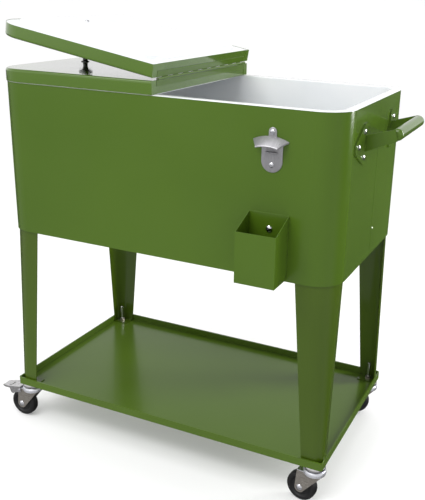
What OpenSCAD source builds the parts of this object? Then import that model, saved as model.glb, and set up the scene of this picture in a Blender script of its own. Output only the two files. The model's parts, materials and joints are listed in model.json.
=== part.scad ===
// Rolling patio cooler: an insulated tub on four sheet legs, a lower shelf tray, swivel casters,
// a two-part hinged lid (right half folded over onto the left half), a push handle on one end,
// a wall-mounted bottle opener and a cap catcher.
// Millimetres. +X is the handle end, -Y is the front, +Z is up, the floor is z = 0.

/* [Tub] */
// outside length of the tub
tub_l = 742; // [650:1:850]
// outside depth of the tub, front to back
tub_w = 413; // [360:1:460]
// radius of the tub's upright corners
tub_r = 55; // [40:1:70]
// height of the tub's lower edge
tub_z0 = 470; // [420:1:520]
// height of the tub's upper edge
tub_z1 = 783; // [740:0.5:830]
// thickness of the outer sheet
sheet_t = 1.2; // [0.8:0.1:2]
// tub wall, outside to inside
wall = 20; // [16:1:30]
// thickness of the plastic liner
liner_t = 3; // [2:0.5:5]

/* [Lids] */
// height of a lid's edge
lid_h = 25.5; // [20:0.5:35]
// how far a lid stands out past the tub
lid_over = 1.5; // [0:0.5:5]
// fillet along a lid's top edge
lid_fillet = 5; // [2:0.5:8]
// how far the right half is turned back from closed
fold = 170.3; // [165:0.1:175]
// distance of a knob from the hinge line
knob_x = 300; // [250:1:330]
// radius of a knob's head
knob_r = 15; // [12:0.5:20]

/* [Legs and shelf] */
// leg width along the front, top
leg_wx1 = 76; // [60:1:90]
// leg width along the front, bottom
leg_wx0 = 42; // [36:1:60]
// leg width along the end, top
leg_wy1 = 54; // [54:1:70]
// leg width along the end, bottom
leg_wy0 = 27; // [24:1:40]
// corner radius of a leg, top
leg_r1 = 53; // [51:1:53]
// corner radius of a leg, bottom
leg_r0 = 17; // [15:1:24]
// depth of the shelf, front to back
shelf_w = 418; // [380:1:450]
// height of the shelf's underside
shelf_z0 = 92; // [88:1:110]
// height of the shelf's rim
shelf_h = 16.5; // [10:0.5:30]

/* [Casters] */
// caster wheel radius
wheel_r = 31.75; // [25:0.25:38]
// caster wheel width
wheel_w = 20; // [16:1:24]
// swivel axis to wheel axle
trail = 26; // [20:1:30]
// swivel axes, distance from the middle along X
caster_x = 350; // [320:1:352]
// swivel axes, distance from the middle along Y
caster_y = 187; // [160:1:189]
// rest direction of the front right caster
turn_fr = 172; // [0:1:359]
// rest direction of the front left caster
turn_fl = 180; // [0:1:359]
// rest direction of the back right caster
turn_br = 176; // [0:1:359]
// rest direction of the back left caster
turn_bl = 180; // [0:1:359]

/* [Handle] */
// reach of the grip's axis from the end wall
grip_reach = 57; // [50:1:80]
// grip radius
grip_r = 11; // [9:0.5:14]
// half the distance across the handle's arms
arm_y = 92; // [80:1:120]

/* [Hidden] */
// the whole part moves by this, so that its box is centred on X and Y
pedal_u = 30;
pedal_z = 67;
pedal_l = 79;
pedal_tilt = 10;
roll_r = 1.8;
tip_u = pedal_u + (pedal_l - pedal_u) * cos(pedal_tilt) + (76 - roll_r - pedal_z) * sin(pedal_tilt) + roll_r;
ox = -((tub_l / 2 + grip_reach + grip_r) - (caster_x + tip_u)) / 2;
oy = -((tub_w / 2 + 25) - (tub_w / 2 + 60)) / 2;
hx = tub_l / 2;
hy = tub_w / 2;
eps = 0.01;
pan_z = tub_z0 + 14;
floor_z = pan_z + 22;
flange_z = tub_z1 + 1.2;
lid_z0 = flange_z + 0.3;
lid_z1 = lid_z0 + lid_h;
hinge_z = lid_z1 + 2.2;
barrel_r = 2.6;
lid_l = hx + lid_over - barrel_r;
lid_w = tub_w + 2 * lid_over;
plug_x0 = 23;
plug_x1 = hx - wall - 5;
plug_y = hy - wall - 5;
plug_h = 7;
half = (180 - fold) / 2;
crown = 40;
knob_h = (knob_x * sin(half) - crown - 0.15) / cos(half) + (hinge_z - lid_z1) + crown;
leg_in = 3;
leg_t = 2;
leg_z0 = shelf_z0 + 1.5;
stem_z1 = leg_z0 + 43;
fork_y = wheel_w / 2 + 1.3;
fork_t = 2;
race_z = 73;
grip_z = 736;
arm_t = 3;
wall_screws = [[100.5, 738.5], [135, 716], [100.5, 692]];
open_x = 240.5;
opener_z = [742, 683.5];
catch_z = 566.5;
drain_x = -300;
drain_z = 520;
hood_x = 237.5;
catch_x = 239;
green = [0.30, 0.42, 0.17];
white = [0.93, 0.94, 0.94];
zinc = [0.62, 0.60, 0.57];
steel = [0.75, 0.75, 0.77];
black = [0.05, 0.05, 0.055];

// Node to draw

$fn = 96;

module place() { translate([ox, oy, 0]) children(); }

// plan of a rectangle with four round corners
module plan(l, w, r) {
  square([l - 2 * r, w], center = true);
  square([l, w - 2 * r], center = true);
  for (i = [-1, 1], j = [-1, 1]) translate([i * (l / 2 - r), j * (w / 2 - r)]) circle(r);
}

// ---------- tub ----------

module wall_screw_holes(r, depth) {
  // handle brackets, end wall
  for (s = [-1, 1], p = wall_screws)
    translate([hx + 1, s * p[0], p[1]]) rotate([0, -90, 0]) cylinder(r = r, h = depth + 1);
  // opener and catcher, front wall
  for (z = concat(opener_z, [catch_z]))
    translate([open_x, -hy - 1, z]) rotate([-90, 0, 0]) cylinder(r = r, h = depth + 1);
}

module drain_hole(r) { translate([drain_x, 0, drain_z]) rotate([-90, 0, 0]) cylinder(r = r, h = 300); }

module tub_shell() {
  color(green) place() difference() {
    translate([0, 0, tub_z0]) linear_extrude(tub_z1 - tub_z0) plan(tub_l, tub_w, tub_r);
    translate([0, 0, tub_z0 - 1]) linear_extrude(tub_z1 - tub_z0 + 2)
      plan(tub_l - 2 * sheet_t, tub_w - 2 * sheet_t, tub_r - sheet_t);
    wall_screw_holes(2.1, 10);
    drain_hole(11.1);
    // lap seam down the end wall
    translate([hx - 0.5, 8, tub_z0 - 1]) cube([2, 1, tub_z1 - tub_z0 + 2]);
    // rivet hole
    translate([hx - 5, 17, 525]) rotate([0, 90, 0]) cylinder(r = 1.6, h = 10);
  }
}

module tub_pan() {
  l = tub_l - 2 * sheet_t;
  w = tub_w - 2 * sheet_t;
  r = tub_r - sheet_t;
  color(green) place() difference() {
    translate([0, 0, tub_z0 + 2]) linear_extrude(pan_z + 1.2 - tub_z0 - 2) plan(l, w, r);
    translate([0, 0, tub_z0 - 1]) linear_extrude(pan_z - tub_z0 + 1) plan(l - 2.4, w - 2.4, r - 1.2);
    at_legs() leg_bolt_holes(3.1);
  }
}

module tub_foam() {
  color([0.85, 0.78, 0.55]) place() difference() {
    translate([0, 0, pan_z + 1.2]) linear_extrude(tub_z1 - pan_z - 1.2)
      plan(tub_l - 2 * sheet_t, tub_w - 2 * sheet_t, tub_r - sheet_t);
    translate([0, 0, floor_z - liner_t]) linear_extrude(400)
      plan(tub_l - 2 * wall + 2 * liner_t, tub_w - 2 * wall + 2 * liner_t, tub_r - wall + liner_t);
    wall_screw_holes(2.1, 12);
    drain_hole(11.1);
    at_legs() leg_bolt_holes(3.1);
    translate([hx - 6, 17, 525]) rotate([0, 90, 0]) cylinder(r = 1.6, h = 10);
  }
}

module tub_liner() {
  il = tub_l - 2 * wall;
  iw = tub_w - 2 * wall;
  ir = tub_r - wall;
  color(white) place() difference() {
    union() {
      translate([0, 0, floor_z - liner_t]) linear_extrude(tub_z1 - floor_z + liner_t)
        plan(il + 2 * liner_t, iw + 2 * liner_t, ir + liner_t);
      translate([0, 0, tub_z1]) linear_extrude(1.2) plan(tub_l - 0.4, tub_w - 0.4, tub_r - 0.2);
    }
    translate([0, 0, floor_z]) linear_extrude(400) plan(il, iw, ir);
    drain_hole(11.1);
  }
}

module end_rivet() {
  color(zinc) place() translate([hx, 17, 525]) rotate([0, 90, 0]) {
    intersection() {
      cylinder(r = 2.6, h = 1.2);
      translate([0, 0, -2.4]) sphere(r = 3.6);
    }
    translate([0, 0, -4]) cylinder(r = 1.5, h = 4);
  }
}

module drain_spout() {
  color(white) place() translate([drain_x, 0, drain_z]) rotate([-90, 0, 0]) difference() {
    union() {
      translate([0, 0, hy - wall - 2]) cylinder(r = 13.5, h = 2);
      translate([0, 0, hy - wall - 1]) cylinder(r = 11, h = wall + 8);
      translate([0, 0, hy]) cylinder(r = 10.5, h = 20);
    }
    translate([0, 0, hy - wall - 3]) cylinder(r = 8, h = wall + 30);
  }
}

module drain_nut() {
  color(white) place() translate([drain_x, hy, drain_z]) rotate([-90, 0, 0]) difference() {
    union() {
      cylinder(r = 17, h = 1.5);
      rotate([0, 0, 30]) cylinder(r = 15.8, h = 7, $fn = 6);
    }
    translate([0, 0, -1]) cylinder(r = 11.05, h = 10);
  }
}

module drain_plug() {
  color(black) place() translate([drain_x, hy, drain_z]) rotate([-90, 0, 0]) {
    translate([0, 0, 20.3]) cylinder(r = 10, h = 4.7);
    translate([0, 0, 4]) cylinder(r = 7.94, h = 17);
    translate([0, 0, 2.5]) cylinder(r1 = 7, r2 = 7.94, h = 1.5);
  }
}

// ---------- lids ----------
// one half, hinge end at x = 0, outer end at x = -l, open below, top at z = h

module lid_plan(l, w, r) {
  translate([-l + r, -w / 2]) square([l - r, w]);
  translate([-l, -w / 2 + r]) square([r + 1, w - 2 * r]);
  for (j = [-1, 1]) translate([-l + r, j * (w / 2 - r)]) circle(r);
}

module lid_block(l, w, r, h, f) {
  linear_extrude(h - f) lid_plan(l, w, r);
  linear_extrude(h) lid_plan(l - f, w - 2 * f, r - f);
  for (j = [-1, 1]) {
    translate([-l + r, j * (w / 2 - f), h - f]) rotate([0, 90, 0]) cylinder(r = f, h = l - r);
    translate([-l + r, j * (w / 2 - r), h - f]) rotate([0, 0, j > 0 ? 90 : 180])
      rotate_extrude(angle = 90) translate([r - f, 0]) circle(f);
  }
  translate([-l + f, -w / 2 + r, h - f]) rotate([-90, 0, 0]) cylinder(r = f, h = w - 2 * r);
}

// moves a half to its closed place on the left side of the hinge line
module left_place() { translate([-barrel_r, 0, lid_z0]) children(); }

// the right half is the left one turned about, then folded back about the hinge axis
module right_place() {
  translate([0, 0, hinge_z]) rotate([0, -fold, 0]) translate([0, 0, -hinge_z])
    rotate([0, 0, 180]) left_place() children();
}

module lid_shell() {
  r = tub_r + lid_over;
  difference() {
    lid_block(lid_l, lid_w, r, lid_h, lid_fillet);
    translate([-sheet_t, 0, -1]) lid_block(lid_l - 2 * sheet_t, lid_w - 2 * sheet_t,
      r - sheet_t, lid_h + 1 - sheet_t, lid_fillet - sheet_t);
    translate([-knob_x + barrel_r, 0, 0]) cylinder(r = 2.7, h = 100);
  }
  // skirts folded round onto the hinge end
  for (j = [-1, 1]) translate([-0.1, j > 0 ? lid_w / 2 - 17 : -lid_w / 2, 0]) cube([0.8, 17, lid_h - 0.4]);
}

module plug_plan(inset) {
  cx = -(plug_x0 + plug_x1) / 2 + barrel_r;
  translate([cx, 0]) plan(plug_x1 - plug_x0 - 2 * inset, 2 * plug_y - 2 * inset, 30 - inset);
}

module lid_panel() {
  difference() {
    union() {
      translate([-sheet_t, 0, 0.5]) linear_extrude(2.5)
        lid_plan(lid_l - 2 * sheet_t, lid_w - 2 * sheet_t, tub_r + lid_over - sheet_t);
      translate([0, 0, 0.5 - plug_h]) linear_extrude(plug_h + 1) plug_plan(0);
    }
    translate([0, 0, 3 - plug_h]) linear_extrude(plug_h + 1) plug_plan(2.5);
    translate([-knob_x + barrel_r, 0, -50]) cylinder(r = 2.7, h = 100);
  }
}

module lid_foam() {
  difference() {
    union() {
      translate([-sheet_t, 0, 3]) linear_extrude(lid_h - 3 - lid_fillet)
        lid_plan(lid_l - 2 * sheet_t, lid_w - 2 * sheet_t, tub_r + lid_over - sheet_t);
      translate([-sheet_t, 0, 3]) linear_extrude(lid_h - 3 - sheet_t)
        lid_plan(lid_l - sheet_t - lid_fillet, lid_w - 2 * lid_fillet, tub_r + lid_over - lid_fillet);
      translate([0, 0, 3 - plug_h]) linear_extrude(plug_h + 1) plug_plan(2.5);
    }
    translate([-knob_x + barrel_r, 0, -50]) cylinder(r = 2.7, h = 100);
  }
}

module knob() {
  translate([-knob_x + barrel_r, 0, lid_h]) difference() {
    intersection() {
      rotate_extrude() polygon([[0, 0], [9, 0], [9, 1.4], [6.2, 2.4], [5.3, 4.5], [5.1, 11],
        [6, 14.2], [9, 17.2], [knob_r - 0.6, 19.8], [knob_r, 20.8], [knob_r, 40], [0, 40]]);
      translate([0, 0, knob_h - crown]) sphere(r = crown, $fn = 160);
    }
    translate([0, 0, -1]) cylinder(r = 2.55, h = 16);
  }
}

module knob_screw() {
  translate([-knob_x + barrel_r, 0, 0]) {
    intersection() {
      translate([0, 0, 0.5 - plug_h - 2.4]) cylinder(r = 4.6, h = 2.4);
      translate([0, 0, 0.5 - plug_h + 3.4]) sphere(r = 5.8);
    }
    translate([0, 0, 0.4 - plug_h]) cylinder(r = 2.5, h = lid_h + 13 + plug_h);
  }
}

module left_lid_shell() { color(green) place() left_place() lid_shell(); }
module left_lid_foam() { color([0.85, 0.78, 0.55]) place() left_place() lid_foam(); }
module left_lid_panel() { color(white) place() left_place() lid_panel(); }
module left_knob() { color(black) place() left_place() knob(); }
module left_knob_screw() { color(steel) place() left_place() knob_screw(); }
module right_lid_shell() { color(green) place() right_place() lid_shell(); }
module right_lid_foam() { color([0.85, 0.78, 0.55]) place() right_place() lid_foam(); }
module right_lid_panel() { color(white) place() right_place() lid_panel(); }
module right_knob() { color(black) place() right_place() knob(); }
module right_knob_screw() { color(steel) place() right_place() knob_screw(); }

// ---------- piano hinge ----------
// 19 knuckles of 20 mm; the left leaf has the odd ones and the right leaf the even ones

module knuckles(first) {
  for (i = [first:2:18]) translate([0, -190 + 20 * i + 0.25, 0]) rotate([-90, 0, 0]) cylinder(r = barrel_r, h = 19.5);
}

module hinge_leaf(first) {
  // flat leaf on the hinge end, x from -barrel_r to -barrel_r + 1
  difference() {
    union() {
      translate([-barrel_r, -190, -14]) cube([1, 380, 11]);
      for (i = [first:2:18]) translate([-barrel_r, -190 + 20 * i + 0.25, -4]) cube([1, 19.5, 4]);
      knuckles(first);
    }
    translate([0, -200, 0]) rotate([-90, 0, 0]) cylinder(r = 1.3, h = 400);
  }
}

module left_hinge_leaf() {
  color(green) place() translate([0, 0, hinge_z]) hinge_leaf(0);
}

module right_hinge_leaf() {
  color(green) place() translate([0, 0, hinge_z]) rotate([0, -fold, 0]) mirror([1, 0, 0]) hinge_leaf(1);
}

module hinge_pin() {
  color(zinc) place() translate([0, -189, hinge_z]) rotate([-90, 0, 0]) cylinder(r = 1.25, h = 378);
}

// ---------- handle ----------

module arm_bracket() {
  difference() {
    union() {
      // wall plate
      translate([hx, 0, 0]) rotate([90, 0, 90]) linear_extrude(arm_t) {
        polygon([[80, 748], [86, 754], [100, 752], [112, 747.6], [150, 723.5], [152, 720], [152, 708],
          [150, 704.5], [112, 684], [100, 678.5], [86, 677], [80, 683]]);
      }
      // flat arm standing out from the wall
      translate([0, arm_y, 0]) rotate([90, 0, 0]) linear_extrude(arm_t) {
        polygon([[hx, 700], [hx, 730], [hx + grip_reach - 3.2, grip_z + 10.4],
          [hx + grip_reach - 0.5, grip_z + 4], [hx + grip_reach + 1.8, grip_z - 5],
          [hx + grip_reach + 2.4, grip_z - 10.7]]);
      }
    }
    for (p = wall_screws)
      translate([hx - 1, p[0], p[1]]) rotate([0, 90, 0]) cylinder(r = 2.2, h = 10);
  }
}

module handle_bracket_back() { color(green) place() arm_bracket(); }
module handle_bracket_front() { color(green) place() mirror([0, 1, 0]) arm_bracket(); }

module handle_grip() {
  // closed tube with rounded ends
  h = arm_y - arm_t;
  e = 6;
  color(green) place() translate([hx + grip_reach, 0, grip_z]) rotate([-90, 0, 0]) difference() {
    union() {
      translate([0, 0, -h + e]) cylinder(r = grip_r, h = 2 * (h - e));
      for (s = [0, 1]) mirror([0, 0, s]) translate([0, 0, h - e]) {
        rotate_extrude() translate([grip_r - e, 0]) intersection() { circle(e); square(e); }
        cylinder(r = grip_r - e, h = e);
      }
    }
    translate([0, 0, -h + e + 2]) cylinder(r = grip_r - 1.5, h = 2 * (h - e - 2));
  }
}

// pan-head screw, seat at z = 0, head above, cross recess
module pan_screw(hr, hh, r, l) {
  difference() {
    intersection() {
      cylinder(r = hr, h = hh);
      translate([0, 0, hh - hr * 1.6]) sphere(r = hr * 1.6);
    }
    for (a = [0, 90]) rotate([0, 0, a + 20]) translate([-hr * 0.5, -0.5, hh - 1.2]) cube([hr, 1, 3]);
  }
  translate([0, 0, -l]) cylinder(r = r, h = l + 0.5);
}

module handle_screws() {
  color(steel) place() for (s = [-1, 1], p = wall_screws)
    translate([hx + arm_t, s * p[0], p[1]]) rotate([0, 90, 0]) pan_screw(5, 3.2, 2, 14);
}

// ---------- bottle opener and cap catcher ----------

// thin slice in the XZ plane, at y
module xz_slice(y, pts) { translate([0, y, 0]) rotate([90, 0, 0]) linear_extrude(eps) polygon(pts); }

module hood(dz) {
  c = hood_x;
  translate([0, 0, dz]) hull() {
    xz_slice(-hy - 1, [[c - 34, 722], [c - 34, 726.5], [c - 26, 730.5], [c - 14, 733.3], [c, 734.2],
      [c + 14, 733.3], [c + 26, 730.5], [c + 34, 726.5], [c + 34, 722]]);
    xz_slice(-hy - 23, [[c - 20.5, 714], [c - 20.5, 717.5], [c - 10, 719.6], [c, 720.3],
      [c + 10, 719.6], [c + 20.5, 717.5], [c + 20.5, 714]]);
  }
}

module bottle_opener() {
  c = open_x;
  color(steel) place() difference() {
    union() {
      translate([0, -hy, 0]) rotate([90, 0, 0]) linear_extrude(2) {
        translate([c, 690]) circle(20);
        translate([c - 20, 690]) square([40, 36]);
        polygon([[c - 20, 725], [c + 20, 725], [c + 7.5, 734], [c - 7.5, 734]]);
        translate([c - 7.5, 733]) square([15, 9.5]);
        translate([c, 742.5]) circle(7.5);
      }
      difference() {
        hood(0);
        hood(-2.6);
      }
      // catch for the cap's rim
      translate([c - 11, -hy - 6, 704]) cube([22, 5, 3]);
    }
    for (z = opener_z) translate([c, -hy - 5, z]) rotate([-90, 0, 0]) cylinder(r = 2.3, h = 10);
  }
}

module opener_screws() {
  color(steel) place() for (z = opener_z)
    translate([open_x, -hy - 2, z]) rotate([90, 0, 0]) pan_screw(4.6, 2.8, 2, 13);
}

module cap_catcher() {
  color(green) place() difference() {
    translate([catch_x + 39, 0, 0]) rotate([90, 0, -90]) linear_extrude(78)
      polygon([[hy, 475], [hy + 60, 475], [hy + 60, 571], [hy, 595.5]]);
    translate([catch_x + 37.8, 0, 0]) rotate([90, 0, -90]) linear_extrude(75.6)
      polygon([[hy + 1.2, 476.2], [hy + 58.8, 476.2], [hy + 58.8, 620], [hy + 1.2, 620]]);
    translate([open_x, -hy - 5, catch_z]) rotate([-90, 0, 0]) cylinder(r = 2.3, h = 10);
  }
}

module catcher_screw() {
  color(steel) place() translate([open_x, -hy - 1.2, catch_z]) rotate([90, 0, 0]) pan_screw(6, 4.2, 2, 13);
}

// ---------- legs ----------
// built at the corner (+X, +Y), outer corner at the origin of the plan, inside towards -X and -Y

module corner_plan(wx, wy, r, m) {
  intersection() {
    translate([-wx - m, -wy - m]) square([wx + m, wy + m]);
    union() {
      translate([-r - 100, -r - 100]) square([100, r + 100]);
      translate([-r - 100, -r - 100]) square([r + 100, 100]);
      translate([-r, -r]) circle(r);
    }
  }
}

module leg_loft(t, m) {
  hull() {
    translate([-t, -t, leg_z0 - m]) linear_extrude(eps) corner_plan(leg_wx0, leg_wy0, leg_r0 - t, m);
    translate([-t, -t, pan_z + m - eps]) linear_extrude(eps) corner_plan(leg_wx1, leg_wy1, leg_r1 - t, m);
  }
}

module leg_bolt_holes(r) {
  for (p = [[-26, -24], [-58, -24]]) translate([p[0], p[1], pan_z - 20]) cylinder(r = r, h = 29);
}

module leg_bar() {
  difference() {
    leg_loft(0, 0);
    leg_loft(leg_t, 6);
  }
  // top plate under the tub
  difference() {
    translate([-1, -1, pan_z - 2]) linear_extrude(2) corner_plan(leg_wx1 - 1.4, leg_wy1 - 1.4, leg_r1 - 1.2, 0);
    leg_bolt_holes(3.1);
  }
  // foot plate on the shelf
  difference() {
    translate([-1, -1, leg_z0]) linear_extrude(2) corner_plan(leg_wx0 - 1.4, 30, leg_r0 - 1, 0);
    translate([caster_x - hx + leg_in, caster_y - hy + leg_in, leg_z0 - 1]) cylinder(r = 3.7, h = 5);
  }
}

module at_corner(i, j) {
  mirror([i < 0 ? 1 : 0, 0, 0]) mirror([0, j < 0 ? 1 : 0, 0]) translate([hx - leg_in, hy - leg_in, 0]) children();
}
module at_legs() { for (i = [-1, 1], j = [-1, 1]) at_corner(i, j) children(); }

module leg_front_left() { color(green) place() at_corner(-1, -1) leg_bar(); }
module leg_front_right() { color(green) place() at_corner(1, -1) leg_bar(); }
module leg_back_left() { color(green) place() at_corner(-1, 1) leg_bar(); }
module leg_back_right() { color(green) place() at_corner(1, 1) leg_bar(); }

module leg_bolts() {
  color(zinc) place() at_legs() for (p = [[-26, -24], [-58, -24]]) translate([p[0], p[1], 0]) {
    translate([0, 0, pan_z - 6]) cylinder(r = 5.8, h = 4, $fn = 6);
    translate([0, 0, pan_z - 3]) cylinder(r = 3, h = 11);
  }
}

// ---------- shelf ----------

module shelf_tray() {
  color(green) place() difference() {
    translate([0, 0, shelf_z0]) linear_extrude(shelf_h) plan(tub_l, shelf_w, 6);
    translate([0, 0, shelf_z0 + 1.5]) linear_extrude(shelf_h) plan(tub_l - 5.8, shelf_w - 7, 2.5);
    for (i = [-1, 1], j = [-1, 1]) translate([i * caster_x, j * caster_y, shelf_z0 - 1]) cylinder(r = 3.7, h = 5);
  }
}

// ---------- casters ----------
// local frame: swivel axis on Z, the wheel trails towards +X

module at_caster(i, j, turn) { translate([i * caster_x, j * caster_y, 0]) rotate([0, 0, turn]) children(); }

module caster_stems() {
  color(zinc) place() for (i = [-1, 1], j = [-1, 1]) at_caster(i, j, 0) rotate_extrude()
    polygon([[0, 68.4], [6.5, 68.4], [8, 69.4], [8, 70.2], [5, 70.2], [5, race_z + 8.4], [17, race_z + 8.4],
      [20.5, race_z + 10.4], [21, race_z + 14], [19, shelf_z0 - 1.2], [16, shelf_z0], [3.5, shelf_z0],
      [3.5, stem_z1 - 1], [2.7, stem_z1], [0, stem_z1]]);
}

module caster_nuts() {
  color(zinc) place() for (i = [-1, 1], j = [-1, 1]) at_caster(i, j, 15) translate([0, 0, leg_z0 + 2]) difference() {
    union() {
      cylinder(r = 6.6, h = 6.5, $fn = 6);
      cylinder(r = 7.5, h = 1.2);
    }
    translate([0, 0, -1]) cylinder(r = 3.55, h = 12);
  }
}

module fork(brake) {
  difference() {
    union() {
      // top plate, with the lower bearing cup on it
      translate([0, 0, race_z - 2.5]) linear_extrude(2.5) {
        circle(22);
        translate([-8, -fork_y - fork_t]) square([41, 2 * (fork_y + fork_t)]);
      }
      translate([0, 0, race_z]) rotate_extrude() polygon([[9, -2.5], [20.5, -2.5], [22.2, -1.2], [22.9, 1], [22.9, 4],
        [22.2, 6.4], [21, 8], [17, 8], [17, 3], [9, 3]]);
      // side plates
      for (s = [0, 1]) mirror([0, s, 0]) translate([0, fork_y + fork_t, 0]) rotate([90, 0, 0]) linear_extrude(fork_t) {
        polygon([[-19, race_z - 2.5], [-19, race_z - 0.5], [33, race_z - 0.5], [trail + 10.4, wheel_r + 1.5],
          [trail, wheel_r], [trail - 6.9, wheel_r - 7.9]]);
        translate([trail, wheel_r]) circle(10.5);
      }
    }
    translate([0, 0, 60]) cylinder(r = 5.05, h = 30);
    translate([trail, 40, wheel_r]) rotate([90, 0, 0]) cylinder(r = 4.05, h = 80);
    if (brake) translate([pedal_u, 40, pedal_z]) rotate([90, 0, 0]) cylinder(r = 1.8, h = 80);
  }
}

module wheel() {
  w = wheel_w / 2;
  translate([trail, 0, wheel_r]) rotate([90, 0, 0]) rotate_extrude() polygon([[4, -w - 0.7], [8, -w - 0.7],
    [8.4, -w + 2.2], [22, -w + 2.2], [23.5, -w], [27.6, -w], [30, -w + 1.3], [31.2, -w + 3.4], [wheel_r, -w + 6.4],
    [wheel_r, w - 6.4], [31.2, w - 3.4], [30, w - 1.3], [27.6, w], [23.5, w], [22, w - 2.2], [8.4, w - 2.2],
    [8, w + 0.7], [4, w + 0.7]]);
}

module axle() {
  y = fork_y + fork_t;
  translate([trail, 0, wheel_r]) rotate([90, 0, 0]) {
    translate([0, 0, -y]) cylinder(r = 3.95, h = 2 * y);
    // round head to the near side, hexagon nut to the far side
    translate([0, 0, y]) intersection() {
      cylinder(r = 7, h = 3.4);
      translate([0, 0, -5.2]) sphere(r = 8.6);
    }
    translate([0, 0, -y - 4]) cylinder(r = 6.6, h = 4, $fn = 6);
    translate([0, 0, -y - 5.5]) cylinder(r = 3.6, h = 3);
  }
}

// outline of the tread plate, narrower at the tip
module tread_plan(d) {
  w = fork_y + fork_t + 2.2 - d;
  polygon([[24.5 + d, -w], [58, -w], [70, -w + 2.2], [pedal_l - d, -w + 5], [pedal_l - d, w - 5], [70, w - 2.2],
    [58, w], [24.5 + d, w]]);
}

module brake_pedal() {
  yi = fork_y + fork_t + 0.7;
  translate([pedal_u, 0, pedal_z]) rotate([0, pedal_tilt, 0]) translate([-pedal_u, 0, -pedal_z]) difference() {
    union() {
      // tread plate with a turned-down skirt and a rolled tip
      translate([0, 0, 74.4]) linear_extrude(1.6) tread_plan(0);
      difference() {
        translate([0, 0, 71.5]) linear_extrude(4) tread_plan(0);
        translate([0, 0, 70]) linear_extrude(5) tread_plan(1.5);
        translate([20, -20, 70]) cube([30, 40, 4.4]);
      }
      translate([pedal_l, 10, 76 - roll_r]) rotate([90, 0, 0]) cylinder(r = roll_r, h = 20);
      // raised oval on the tread
      translate([60, -4, 74.8]) linear_extrude(2) circle(5);
      translate([60, 4, 74.8]) linear_extrude(2) circle(5);
      translate([55, -4, 74.8]) cube([10, 8, 2]);
      // side flanges
      for (s = [0, 1]) mirror([0, s, 0]) translate([0, yi + 1.5, 0]) rotate([90, 0, 0]) linear_extrude(1.5)
        polygon([[24.5, 75], [24.5, 64], [28, 61.5], [34, 61.5], [40, 61], [46, 59], [50, 57.5], [54, 59],
          [56, 63], [57, 72], [57, 75]]);
      // shoe above the tread of the wheel
      translate([38, -fork_y + 2, 63.2]) cube([8, 2 * fork_y - 4, 12]);
    }
    translate([pedal_u, 40, pedal_z]) rotate([90, 0, 0]) cylinder(r = 1.8, h = 80);
  }
}

module brake_pin() {
  y = fork_y + fork_t + 2.2;
  translate([pedal_u, 0, pedal_z]) rotate([90, 0, 0]) {
    translate([0, 0, -y - 0.3]) cylinder(r = 1.75, h = 2 * y + 0.6);
    for (s = [0, 1]) mirror([0, 0, s]) translate([0, 0, y + 0.3]) cylinder(r = 3.2, h = 1.2);
  }
}

module fork_front_left() { color(zinc) place() at_caster(-1, -1, turn_fl) fork(true); }
module fork_front_right() { color(zinc) place() at_caster(1, -1, turn_fr) fork(false); }
module fork_back_left() { color(zinc) place() at_caster(-1, 1, turn_bl) fork(false); }
module fork_back_right() { color(zinc) place() at_caster(1, 1, turn_br) fork(true); }
module wheel_front_left() { color(black) place() at_caster(-1, -1, turn_fl) wheel(); }
module wheel_front_right() { color(black) place() at_caster(1, -1, turn_fr) wheel(); }
module wheel_back_left() { color(black) place() at_caster(-1, 1, turn_bl) wheel(); }
module wheel_back_right() { color(black) place() at_caster(1, 1, turn_br) wheel(); }
module axle_front_left() { color(steel) place() at_caster(-1, -1, turn_fl) rotate_axle() axle(); }
module axle_front_right() { color(steel) place() at_caster(1, -1, turn_fr) rotate_axle() axle(); }
module axle_back_left() { color(steel) place() at_caster(-1, 1, turn_bl) axle(); }
module axle_back_right() { color(steel) place() at_caster(1, 1, turn_br) axle(); }
// turns the bolt end for end, so that its round head is on the outside of the front casters
module rotate_axle() { mirror([0, 1, 0]) children(); }
module brake_pedal_front_left() { color(zinc) place() at_caster(-1, -1, turn_fl) brake_pedal(); }
module brake_pedal_back_right() { color(zinc) place() at_caster(1, 1, turn_br) brake_pedal(); }
module brake_pin_front_left() { color(steel) place() at_caster(-1, -1, turn_fl) brake_pin(); }
module brake_pin_back_right() { color(steel) place() at_caster(1, 1, turn_br) brake_pin(); }

tub_shell();
tub_pan();
tub_foam();
tub_liner();
end_rivet();
drain_spout();
drain_nut();
drain_plug();
left_lid_shell();
left_lid_foam();
left_lid_panel();
left_knob();
left_knob_screw();
right_lid_shell();
right_lid_foam();
right_lid_panel();
right_knob();
right_knob_screw();
left_hinge_leaf();
right_hinge_leaf();
hinge_pin();
handle_grip();
handle_bracket_front();
handle_bracket_back();
handle_screws();
bottle_opener();
opener_screws();
cap_catcher();
catcher_screw();
leg_front_left();
leg_front_right();
leg_back_left();
leg_back_right();
leg_bolts();
shelf_tray();
caster_stems();
caster_nuts();
fork_front_left();
fork_front_right();
fork_back_left();
fork_back_right();
wheel_front_left();
wheel_front_right();
wheel_back_left();
wheel_back_right();
axle_front_left();
axle_front_right();
axle_back_left();
axle_back_right();
brake_pedal_front_left();
brake_pedal_back_right();
brake_pin_front_left();
brake_pin_back_right();
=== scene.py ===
import json
import math

import bmesh
import bpy
from mathutils import Matrix, Vector


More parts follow.
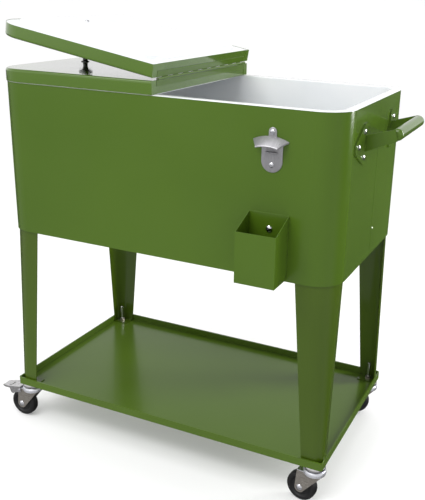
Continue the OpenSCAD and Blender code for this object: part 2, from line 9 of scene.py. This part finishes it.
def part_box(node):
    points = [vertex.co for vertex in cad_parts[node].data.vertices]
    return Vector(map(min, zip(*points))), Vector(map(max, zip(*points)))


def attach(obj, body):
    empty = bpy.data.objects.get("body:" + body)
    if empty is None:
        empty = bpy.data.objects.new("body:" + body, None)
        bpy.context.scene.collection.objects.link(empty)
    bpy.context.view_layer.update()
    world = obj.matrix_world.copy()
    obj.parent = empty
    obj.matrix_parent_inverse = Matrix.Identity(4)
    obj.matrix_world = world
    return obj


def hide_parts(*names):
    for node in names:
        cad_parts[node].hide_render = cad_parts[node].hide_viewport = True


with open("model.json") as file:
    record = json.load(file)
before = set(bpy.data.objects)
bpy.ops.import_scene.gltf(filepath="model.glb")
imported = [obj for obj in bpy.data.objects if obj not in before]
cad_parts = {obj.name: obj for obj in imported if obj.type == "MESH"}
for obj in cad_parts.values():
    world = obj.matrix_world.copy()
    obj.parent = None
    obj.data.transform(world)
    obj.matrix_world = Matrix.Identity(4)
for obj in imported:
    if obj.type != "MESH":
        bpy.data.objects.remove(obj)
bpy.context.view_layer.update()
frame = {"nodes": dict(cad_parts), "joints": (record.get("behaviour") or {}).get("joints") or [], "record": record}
nodes = frame["nodes"]
scene = bpy.context.scene
tub_lo, tub_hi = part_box("tub_shell")
OX = (tub_lo.x + tub_hi.x) / 2  # middle of the tub, with OY
OY = (tub_lo.y + tub_hi.y) / 2
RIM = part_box("tub_liner")[1].z  # top of the liner's flange


# ---------------------------------------------------------------- camera
CAMERA_FROM_TUB = (0.7292, -1.3952)  # X and Y from the middle of the tub
CAMERA_HEIGHT = 0.9815
CAMERA_YAW = -0.427  # radians, as pitch and roll are
CAMERA_PITCH = 0.3331
CAMERA_ROLL = 0.0273
CAMERA_LENS = 53.964  # millimetres, for the sensor's width
CAMERA_SENSOR = 36.0
CAMERA_SHIFT = (-0.0602, -0.0136)


def add_camera():
    pos = Vector((CAMERA_FROM_TUB[0] + OX, CAMERA_FROM_TUB[1] + OY, CAMERA_HEIGHT))
    level = math.cos(CAMERA_PITCH)
    ahead = Vector((math.sin(CAMERA_YAW) * level, math.cos(CAMERA_YAW) * level, -math.sin(CAMERA_PITCH)))
    side = ahead.cross(Vector((0, 0, 1))).normalized()
    lift = side.cross(ahead)
    right = math.cos(CAMERA_ROLL) * side + math.sin(CAMERA_ROLL) * lift
    up = -math.sin(CAMERA_ROLL) * side + math.cos(CAMERA_ROLL) * lift
    data = bpy.data.cameras.new("camera")
    data.lens = CAMERA_LENS
    data.sensor_width = CAMERA_SENSOR
    data.sensor_fit = "AUTO"
    data.shift_x = CAMERA_SHIFT[0]
    data.shift_y = CAMERA_SHIFT[1]
    data.clip_start = 0.05
    cam = bpy.data.objects.new("camera", data)
    m = Matrix((right, up, -ahead)).transposed().to_4x4()
    m.translation = pos
    cam.matrix_world = m
    scene.collection.objects.link(cam)
    scene.camera = cam


add_camera()


# ---------------------------------------------------------------- materials
def srgb(r, g, b):
    def lin(c):
        c /= 255.0
        return c / 12.92 if c <= 0.04045 else ((c + 0.055) / 1.055) ** 2.4

    return (lin(r), lin(g), lin(b), 1.0)


class Mat:
    """A small wrapper that builds a node tree around one Principled shader."""

    def __init__(self, name):
        self.m = bpy.data.materials.new(name)
        self.m.use_nodes = True
        self.t = self.m.node_tree
        self.p = self.t.nodes["Principled BSDF"]
        tc = self.t.nodes.new("ShaderNodeTexCoord")
        self.co = tc.outputs["Object"]

    def set(self, **kw):
        for k, v in kw.items():
            self.p.inputs[k.replace("_", " ")].default_value = v
        return self

    def link(self, a, b):
        self.t.links.new(a, b)

    def mapped(self, scale):
        n = self.t.nodes.new("ShaderNodeMapping")
        n.inputs["Scale"].default_value = scale
        self.link(self.co, n.inputs["Vector"])
        return n.outputs["Vector"]

    def noise(self, scale, detail=3.0, rough=0.5, vec=None):
        n = self.t.nodes.new("ShaderNodeTexNoise")
        n.inputs["Scale"].default_value = scale
        n.inputs["Detail"].default_value = detail
        n.inputs["Roughness"].default_value = rough
        self.link(vec if vec is not None else self.co, n.inputs["Vector"])
        return n.outputs["Fac"]

    def voronoi(self, scale):
        n = self.t.nodes.new("ShaderNodeTexVoronoi")
        n.inputs["Scale"].default_value = scale
        self.link(self.co, n.inputs["Vector"])
        return n.outputs["Distance"]

    def remap(self, fac, a, b, lo=0.0, hi=1.0):
        n = self.t.nodes.new("ShaderNodeMapRange")
        n.inputs["From Min"].default_value = a
        n.inputs["From Max"].default_value = b
        n.inputs["To Min"].default_value = lo
        n.inputs["To Max"].default_value = hi
        self.link(fac, n.inputs["Value"])
        return n.outputs["Result"]

    def mix(self, fac, a, b):
        n = self.t.nodes.new("ShaderNodeMix")
        n.data_type = "RGBA"
        self.link(fac, n.inputs["Factor"])
        for sock, v in (("A", a), ("B", b)):
            s = [i for i in n.inputs if i.name == sock and i.type == "RGBA"][0]
            if isinstance(v, tuple):
                s.default_value = v
            else:
                self.link(v, s)
        return [o for o in n.outputs if o.type == "RGBA"][0]

    def color(self, out):
        self.link(out, self.p.inputs["Base Color"])
        return self

    def rough(self, out):
        self.link(out, self.p.inputs["Roughness"])
        return self

    def bumps(self, *layers):
        """Each layer is (height, strength, distance in metres)."""
        prev = None
        for h, strength, dist in layers:
            n = self.t.nodes.new("ShaderNodeBump")
            n.inputs["Strength"].default_value = strength
            n.inputs["Distance"].default_value = dist
            self.link(h, n.inputs["Height"])
            if prev is not None:
                self.link(prev, n.inputs["Normal"])
            prev = n.outputs["Normal"]
        self.link(prev, self.p.inputs["Normal"])
        return self


def paint(name, main, deep, rough=0.2, wave=0.0, coat=0.3):
    """Gloss powder coat: slow colour drift, fine flake, orange peel, and a long wave of the sheet."""
    m = Mat(name)
    drift = m.remap(m.noise(2.6, 2.0, 0.5), 0.35, 0.65)
    col = m.mix(drift, main, deep)
    fleck = m.remap(m.voronoi(1500.0), 0.0, 0.75, 0.0, 0.10)
    col = m.mix(fleck, col, (main[0] * 1.6, main[1] * 1.5, main[2] * 1.6, 1))
    m.color(col)
    m.rough(m.remap(m.noise(9.0, 4.0, 0.6), 0.3, 0.7, rough * 0.85, rough * 1.2))
    layers = [(m.noise(430.0, 2.0, 0.5), 0.10, 0.0006)]
    if wave:
        layers.insert(0, (m.noise(5.5, 1.0, 0.4, vec=m.mapped((1, 1, 0.35))), wave, 0.010))
    m.bumps(*layers)
    m.set(Coat_Weight=coat, Coat_Roughness=0.05, Coat_IOR=1.5, IOR=1.42)
    return m.m


def metal(name, base, dark, rough, streak, fine, spangle=0.0, metallic=1.0):
    """Drawn or plated metal: streaks that tint and roughen it, a fine grain, and a spangle if given."""
    bump = 0.06
    m = Mat(name)
    s = m.noise(1.0, 4.0, 0.6, vec=m.mapped(streak))
    col = m.mix(m.remap(s, 0.3, 0.7), base, dark)
    if spangle:
        v = m.voronoi(spangle)
        col = m.mix(m.remap(v, 0.1, 0.8, 0.0, 0.35), col, dark)
    m.color(col)
    m.rough(m.remap(s, 0.25, 0.75, rough * 0.75, rough * 1.3))
    m.bumps((s, bump, 0.0004), (m.noise(fine, 2.0, 0.5), bump, 0.0002))
    m.set(Metallic=metallic)
    return m.m


def plastic(name, main, second, rough, coat, grain, grain_depth, mottle):
    """Moulded plastic, rubber or foam: a mottled colour and roughness, and a fine grain."""
    m = Mat(name)
    col = m.mix(m.remap(m.noise(mottle, 3.0, 0.55), 0.35, 0.65), main, second)
    m.color(col)
    m.rough(m.remap(m.noise(mottle * 3, 4.0, 0.6), 0.3, 0.7, rough * 0.8, rough * 1.25))
    m.bumps((m.noise(grain, 2.0, 0.5), grain_depth, 0.0006))
    m.set(IOR=1.48, Coat_Weight=coat, Coat_Roughness=0.08)
    return m.m


GREEN = paint("green_paint", srgb(67, 93, 20), srgb(62, 88, 16), 0.20, 0.05, 0.22)
GREEN_LID = paint("green_paint_lid", srgb(70, 97, 24), srgb(65, 92, 20), 0.14, 0.03, 0.8)
# painted shade: the legs get a darker copy of the green, for the shade they stand in under the tub
GREEN_LEG_SHADED = paint("green_paint_leg_shaded", srgb(64, 85, 17), srgb(57, 77, 13), 0.20, 0.0, 0.2)
GREEN_TRAY = paint("green_paint_tray", srgb(74, 99, 26), srgb(68, 92, 22), 0.22, 0.02, 0.1)
WHITE = plastic("white_liner", srgb(226, 228, 229), srgb(219, 222, 224), 0.20, 0.35, 520.0, 0.05, 9.0)
FOAM = plastic("rigid_foam", srgb(226, 214, 168), srgb(205, 190, 140), 0.9, 0.0, 900.0, 0.7, 60.0)
KNOB = plastic("black_knob", srgb(30, 32, 36), srgb(20, 22, 25), 0.14, 0.5, 500.0, 0.04, 30.0)
PLUG = plastic("black_rubber", srgb(34, 34, 35), srgb(24, 24, 25), 0.55, 0.0, 1200.0, 0.25, 40.0)
TYRE = plastic("wheel_rubber", srgb(13, 12, 13), srgb(9, 9, 10), 0.5, 0.0, 800.0, 0.18, 40.0)
STEEL = metal(
    "stainless", srgb(162, 161, 164), srgb(142, 141, 145), 0.32, (900, 60, 60), 1400.0, metallic=0.6
)
SCREW = metal("screw_steel", srgb(222, 222, 226), srgb(190, 190, 196), 0.16, (300, 300, 300), 900.0)
ZINC = metal("zinc_plate", srgb(176, 171, 163), srgb(146, 140, 132), 0.30, (120, 120, 260), 1100.0, 260.0)
BRIGHT = metal("bright_zinc", srgb(214, 214, 216), srgb(182, 180, 180), 0.20, (160, 160, 260), 1100.0, 320.0)
FORK = metal(
    "fork_zinc", srgb(172, 167, 160), srgb(142, 136, 129), 0.30, (120, 120, 260), 1100.0, 260.0, 0.8
)
# painted highlight: the bright colour the fork's swivel cups take on, in place of the light their domes catch
CUP_PAINTED_HIGHLIGHT = srgb(226, 227, 234)
CUP_LOW = 0.0708  # height at which the painted highlight starts to show, and the one at which it is full
CUP_HIGH = 0.0716


def paint_cup_highlight(mat, z0, z1):
    """Paints a highlight into the swivel's cups: above the given heights the fork's colour runs to a bright one,
    in place of the light the domed cups catch.
    """
    t = mat.node_tree
    p = t.nodes["Principled BSDF"]
    tc = t.nodes.new("ShaderNodeTexCoord")
    sep = t.nodes.new("ShaderNodeSeparateXYZ")
    t.links.new(tc.outputs["Object"], sep.inputs[0])
    fade = t.nodes.new("ShaderNodeMapRange")
    fade.inputs["From Min"].default_value = z0
    fade.inputs["From Max"].default_value = z1
    t.links.new(sep.outputs["Z"], fade.inputs["Value"])
    mix = t.nodes.new("ShaderNodeMix")
    mix.data_type = "RGBA"
    a, b = [i for i in mix.inputs if i.type == "RGBA"]
    t.links.new(p.inputs["Base Color"].links[0].from_socket, a)
    b.default_value = CUP_PAINTED_HIGHLIGHT
    t.links.new(fade.outputs["Result"], mix.inputs["Factor"])
    t.links.new([o for o in mix.outputs if o.type == "RGBA"][0], p.inputs["Base Color"])


# paints the highlight of the swivel cups into the fork's colour
paint_cup_highlight(FORK, CUP_LOW, CUP_HIGH)

SLOT_MATS = {
    "green_paint": GREEN, "white_plastic": WHITE, "insulating_foam": FOAM, "black_knob": KNOB,
    "black_rubber": PLUG, "stainless": STEEL, "screw_steel": SCREW, "zinc_plate": ZINC,
    "wheel_rubber": TYRE,
}
SPECIAL = {
    "fork_front_left": FORK, "fork_front_right": FORK, "fork_back_left": FORK, "fork_back_right": FORK,
    "caster_stems": BRIGHT, "brake_pedal_front_left": BRIGHT, "brake_pedal_back_right": BRIGHT,
    "left_lid_shell": GREEN_LID, "right_lid_shell": GREEN_LID,
    # the legs take the darker green with its painted shade
    "leg_front_left": GREEN_LEG_SHADED, "leg_front_right": GREEN_LEG_SHADED, "leg_back_left": GREEN_LEG_SHADED,
    "leg_back_right": GREEN_LEG_SHADED, "shelf_tray": GREEN_TRAY,
}
for s in frame["record"]["subparts"]:
    o = nodes[s["node"]]
    mat = SPECIAL.get(s["node"], SLOT_MATS[s["material_slot"]])
    o.data.materials.clear()
    o.data.materials.append(mat)


# ---------------------------------------------------------------- stage
FLOOR_HALF = 90.0
FLOOR_PALE = (0.76, 0.76, 0.76, 1)
FLOOR_DEEP = (0.75, 0.75, 0.752, 1)
SUN_ANGLE = math.radians(55)


def add_stage():
    fm = Mat("floor")
    fm.color(fm.mix(fm.remap(fm.noise(0.8, 2.0, 0.5), 0.3, 0.7), FLOOR_PALE, FLOOR_DEEP))
    fm.set(Roughness=0.7, Emission_Color=(1, 1, 1, 1), Emission_Strength=0.22)
    bm = bmesh.new()
    bmesh.ops.create_grid(bm, x_segments=2, y_segments=2, size=FLOOR_HALF)
    me = bpy.data.meshes.new("floor")
    bm.to_mesh(me)
    bm.free()
    floor = bpy.data.objects.new("floor", me)
    me.materials.append(fm.m)
    scene.collection.objects.link(floor)
    floor.visible_glossy = False

    w = bpy.data.worlds.new("studio")
    scene.world = w
    w.use_nodes = True
    wt = w.node_tree
    bg = wt.nodes["Background"]
    bg.inputs["Strength"].default_value = 1.0
    # white round the horizon and softer overhead; well below it, where only reflections look, darker
    way = wt.nodes.new("ShaderNodeTexCoord")
    sep = wt.nodes.new("ShaderNodeSeparateXYZ")
    wt.links.new(way.outputs["Generated"], sep.inputs[0])

    def ramp(out, p0, c0, p1, c1):
        """Brightness c0 where the direction's part is p0, running to c1 where it is p1."""
        n = wt.nodes.new("ShaderNodeMapRange")
        for k, v in (("From Min", p0), ("From Max", p1), ("To Min", c0), ("To Max", c1)):
            n.inputs[k].default_value = v
        wt.links.new(out, n.inputs["Value"])
        return n.outputs["Result"]

    low = ramp(sep.outputs["Y"], -0.25, 0.40, 0.25, 0.06)
    high = ramp(sep.outputs["Z"], 0.35, 1.0, 0.65, 0.50)
    up = ramp(sep.outputs["Z"], -0.12, 0.0, -0.05, 1.0)
    mix = wt.nodes.new("ShaderNodeMix")
    wt.links.new(up, mix.inputs["Factor"])
    wt.links.new(low, mix.inputs["A"])
    wt.links.new(high, mix.inputs["B"])
    wt.links.new(mix.outputs["Result"], bg.inputs["Color"])

    def aim(o, loc, target):
        o.location = loc
        o.rotation_euler = (Vector(target) - Vector(loc)).to_track_quat("-Z", "Y").to_euler()
        scene.collection.objects.link(o)

    def area(name, loc, target, size, size_y, energy):
        d = bpy.data.lights.new(name, "AREA")
        d.energy = energy
        d.shape = "RECTANGLE"
        d.size = size
        d.size_y = size_y
        aim(bpy.data.objects.new(name, d), loc, target)

    sun = bpy.data.lights.new("sky_panel", "SUN")
    sun.energy = 1.4
    sun.angle = SUN_ANGLE
    aim(bpy.data.objects.new("sky_panel", sun), (-0.5, -0.75, 2.2), (0, 0, 0))
    area("key", (-0.2, -1.25, 1.75), (0, 0, 0.8), 1.0, 0.5, 13.0)
    area("side", (1.5, 0.85, 1.0), (0.38, 0.1, 0.6), 0.4, 1.0, 24.0)
    scene.view_settings.view_transform = "Standard"
    scene.view_settings.look = "None"
    scene.view_settings.exposure = 0.0
    scene.view_settings.gamma = 1.0


add_stage()


# ---------------------------------------------------------------- mesh helpers
def add_piece(name, verts, faces, mat, body, stands_for=(), sharp=35.0):
    me = bpy.data.meshes.new(name)
    me.from_pydata([tuple(v) for v in verts], [], faces)
    bm = bmesh.new()
    bm.from_mesh(me)
    bmesh.ops.recalc_face_normals(bm, faces=bm.faces)
    for f in bm.faces:
        f.smooth = True
    for e in bm.edges:
        if len(e.link_faces) == 2 and e.calc_face_angle(0.0) > math.radians(sharp):
            e.smooth = False
    bm.to_mesh(me)
    bm.free()
    me.materials.append(mat)
    o = bpy.data.objects.new(name, me)
    scene.collection.objects.link(o)
    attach(o, body)
    if stands_for:
        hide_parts(*stands_for)
    return o


def loft(rings, loop=False):
    """Vertices and faces through rings of the same length, closed by caps or into a loop."""
    n = len(rings[0])
    verts = [p for ring in rings for p in ring]
    faces = []
    last = len(rings) if loop else len(rings) - 1
    for k in range(last):
        a, b = k * n, ((k + 1) % len(rings)) * n
        for i in range(n):
            j = (i + 1) % n
            faces.append((a + i, a + j, b + j, b + i))
    if not loop:
        m = (len(rings) - 1) * n
        faces.append(tuple(range(n - 1, -1, -1)))
        faces.append(tuple(range(m, m + n)))
    return verts, faces


def round_ring(hx, hy, r, z):
    """A rectangle with round corners about the tub's middle, half sizes hx and hy."""
    seg = 14
    pts = []
    for k, (sx, sy) in enumerate(((1, 1), (-1, 1), (-1, -1), (1, -1))):
        for i in range(seg + 1):
            a = math.pi / 2 * (k + i / seg)
            x = OX + sx * (hx - r) + r * math.cos(a)
            y = OY + sy * (hy - r) + r * math.sin(a)
            pts.append(Vector((x, y, z)))
    return pts


def lathe(profile, seg, m):
    """A closed profile of (radius, height) turned about Z, then placed by matrix m."""
    rings = []
    for i in range(seg):
        a = 2 * math.pi * i / seg
        rings.append([m @ Vector((p[0] * math.cos(a), p[0] * math.sin(a), p[1])) for p in profile])
    return loft(rings, loop=True)


def soften(pts, r, steps):
    """Rounds the corners of a closed outline by up to r."""
    out = []
    n = len(pts)
    for i in range(n):
        p, a, b = Vector(pts[i]), Vector(pts[i - 1]), Vector(pts[(i + 1) % n])
        ra = min(r, (a - p).length * 0.45)
        rb = min(r, (b - p).length * 0.45)
        s, e = p + (a - p).normalized() * ra, p + (b - p).normalized() * rb
        for k in range(steps + 1):
            t = k / steps
            out.append(s * (1 - t) ** 2 + p * 2 * t * (1 - t) + e * t * t)
    return out


JOINTS = {j["name"]: j for j in frame["joints"]}


# ---------------------------------------------------------------- liner
LINER_HALF_X = 0.351  # inside the liner's walls
LINER_HALF_Y = 0.1865
LINER_CORNER = 0.035
DRAIN_HOLE = (-0.300 + OX, 0.188 + OY, 0.520)
DRAIN_HOLE_R = 0.0112


def make_liner():
    # each step is (how far out from the inside walls, height), from the underside up and back down inside
    steps = [
        (-0.005, 0.5030), (0.001, 0.5038), (0.003, 0.5060), (0.003, RIM - 0.0013),
        (0.0193, RIM - 0.00115), (0.0198, RIM - 0.0008), (0.0197, RIM - 0.0003), (0.0192, RIM),
        (0.0030, RIM), (0.0014, RIM - 0.0003), (0.0004, RIM - 0.0010), (0.0, RIM - 0.0022),
        (0.0, 0.5130), (-0.0004, 0.5105), (-0.0016, 0.5082), (-0.0036, 0.5068), (-0.0064, 0.5060),
    ]
    rings = []
    for out, z in steps:
        corner = max(LINER_CORNER + out, 0.004)
        rings.append(round_ring(LINER_HALF_X + out, LINER_HALF_Y + out, corner, z))
    v, f = loft(rings)
    o = add_piece("vis_tub_liner", v, f, WHITE, "tub", ("tub_liner",), sharp=60)
    # the drain spout's hole
    bm = bmesh.new()
    turned = Matrix.Translation(DRAIN_HOLE) @ Matrix.Rotation(math.pi / 2, 4, "X")
    bmesh.ops.create_cone(
        bm, cap_ends=True, segments=48, radius1=DRAIN_HOLE_R, radius2=DRAIN_HOLE_R, depth=0.03, matrix=turned
    )
    me = bpy.data.meshes.new("cut")
    bm.to_mesh(me)
    bm.free()
    cut = bpy.data.objects.new("cut", me)
    scene.collection.objects.link(cut)
    mod = o.modifiers.new("hole", "BOOLEAN")
    mod.object = cut
    mod.operation = "DIFFERENCE"
    mod.solver = "EXACT"
    bpy.context.view_layer.update()
    dg = bpy.context.evaluated_depsgraph_get()
    new = bpy.data.meshes.new_from_object(o.evaluated_get(dg))
    o.modifiers.clear()
    o.data = new
    bpy.data.objects.remove(cut)


make_liner()


# ---------------------------------------------------------------- wheels
WHEEL_HALF_WIDTH = 0.010


def make_wheels():
    w = WHEEL_HALF_WIDTH
    # half of the section as (radius, height): hub, dished web and tread
    side = [(0.0041, -w - 0.0006), (0.0076, -w - 0.0006), (0.0086, -w + 0.0003), (0.0090, -w + 0.0026),
            (0.0118, -w + 0.0034), (0.0190, -w + 0.0034), (0.0212, -w + 0.0018), (0.0222, -w + 0.0004),
            (0.0236, -w), (0.0270, -w), (0.0292, -w + 0.0008), (0.0306, -w + 0.0022), (0.0314, -w + 0.0044),
            (0.03175, -w + 0.0072)]
    outline = side + [(r, -z) for r, z in reversed(side)]
    outline = [(p.x, p.y) for p in soften([Vector((r, z)) for r, z in outline], 0.0006, 2)]
    for c in ("front_left", "front_right", "back_left", "back_right"):
        j = JOINTS["roll_" + c]
        pos, ax = Vector(j["pos_m"]), Vector(j["axis"]).normalized()
        m = Matrix.Translation(pos) @ ax.to_track_quat("Z", "X").to_matrix().to_4x4()
        v, f = lathe(outline, 72, m)
        add_piece("vis_wheel_" + c, v, f, TYRE, "wheel_" + c, ("wheel_" + c,), sharp=40)


make_wheels()


# ---------------------------------------------------------------- bottle opener
FOOT_R = 0.020  # the plate's round foot, and half of its width
FOOT_Z = 0.690
EAR_R = 0.0075  # the narrow ear round the upper screw
EAR_Z = 0.7425
HOOD_THICK = 0.0024
HOOD_ROOT = 0.0008  # how far the hood's root stands off the wall


def make_opener():
    wall_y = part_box("bottle_opener")[1].y
    front_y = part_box("bottle_opener")[0].y
    c = OX + 0.2405  # middle of the plate
    ch = OX + 0.2375  # middle of the hood
    out = []
    for i in range(33):
        a = -math.pi * i / 32
        out.append((FOOT_R * math.cos(a), FOOT_Z + FOOT_R * math.sin(a)))
    out += [(-FOOT_R, 0.7235), (-0.0172, 0.7268), (-0.0098, 0.7318), (-0.0080, 0.7338), (-EAR_R, 0.7365)]
    for i in range(25):
        a = math.pi - math.pi * i / 24
        out.append((EAR_R * math.cos(a), EAR_Z + EAR_R * math.sin(a)))
    out += [(EAR_R, 0.7365), (0.0080, 0.7338), (0.0098, 0.7318), (0.0172, 0.7268), (FOOT_R, 0.7235)]
    rings = []
    for depth, inset in ((0.0, 0.0), (0.0013, 0.0), (0.0017, 0.00018), (0.0020, 0.00065)):
        ring = []
        for x, z in out:
            mid = FOOT_Z if z < 0.712 else EAR_Z if z > 0.735 else z
            d = Vector((x, z - mid))
            k = 1 - inset / max(d.length, 0.004)
            ring.append(Vector((c + x * k, wall_y - depth, mid + (z - mid) * k)))
        rings.append(ring)
    verts, faces = loft(rings)

    def join(v, f):
        n = len(verts)
        verts.extend(v)
        faces.extend(tuple(i + n for i in q) for q in f)

    # the hood: a sheet that arches across and falls towards its front lip
    rings = []
    nu = 36
    nv = 14
    reach = wall_y - HOOD_ROOT - front_y

    def point(u, v, drop):
        """u runs across the hood from -1 to 1, v from the wall to the lip, and drop is down from its top."""
        y = wall_y - HOOD_ROOT - reach * v
        zw = 0.7342 - 0.0077 * abs(u) ** 2.2
        zf = 0.7203 - 0.0028 * abs(u) ** 2.2
        z = zw + (zf - zw) * (0.62 * v + 0.38 * v * v)
        return Vector((ch + u * (0.034 - 0.0135 * v ** 0.9), y, z - drop))

    for i in range(nu + 1):
        u = -1 + 2 * i / nu
        ring = [point(u, 0.975 * k / nv, 0.0) for k in range(nv + 1)]
        ring += [point(u, 0.992, 0.0005), point(u, 1.0, 0.0012), point(u, 0.992, 0.0019)]
        ring += [point(u, 0.975 * k / nv, HOOD_THICK) for k in range(nv, -1, -1)]
        rings.append(ring)
    join(*loft(rings))
    # the tooth under the hood, with a round nose
    rings = []
    for x in (-0.011, -0.0105, 0.0105, 0.011):
        e = 0.0005 if abs(x) > 0.0107 else 0.0
        pts = [(-0.0005, 0.704 + e), (-0.0045, 0.704 + e), (-0.0058 + e, 0.7047), (-0.006 + e, 0.7055),
               (-0.0058 + e, 0.7063), (-0.0045, 0.707 - e), (-0.0005, 0.707 - e)]
        rings.append([Vector((c + x, wall_y + y, z)) for y, z in pts])
    join(*loft(rings))
    add_piece("vis_bottle_opener", verts, faces, STEEL, "tub", ("bottle_opener",), sharp=50)


make_opener()


# ---------------------------------------------------------------- edges of the CAD pieces
BEVEL = {
    "tub_shell": 0.0004, "shelf_tray": 0.0008, "cap_catcher": 0.0005,
    "handle_bracket_front": 0.0006, "handle_bracket_back": 0.0006,
    "left_lid_panel": 0.001, "right_lid_panel": 0.001,
    "fork_front_left": 0.0005, "fork_front_right": 0.0005,
    "fork_back_left": 0.0005, "fork_back_right": 0.0005,
    "brake_pedal_front_left": 0.0004, "brake_pedal_back_right": 0.0004, "caster_stems": 0.0004,
    "handle_screws": 0.0003, "opener_screws": 0.0003, "catcher_screw": 0.0003,
}
for n, w in BEVEL.items():
    b = nodes[n].modifiers.new("edge", "BEVEL")
    b.width = w
    b.segments = 3
    b.limit_method = "ANGLE"
    b.angle_limit = math.radians(35)
    b.use_clamp_overlap = True
    b.harden_normals = True
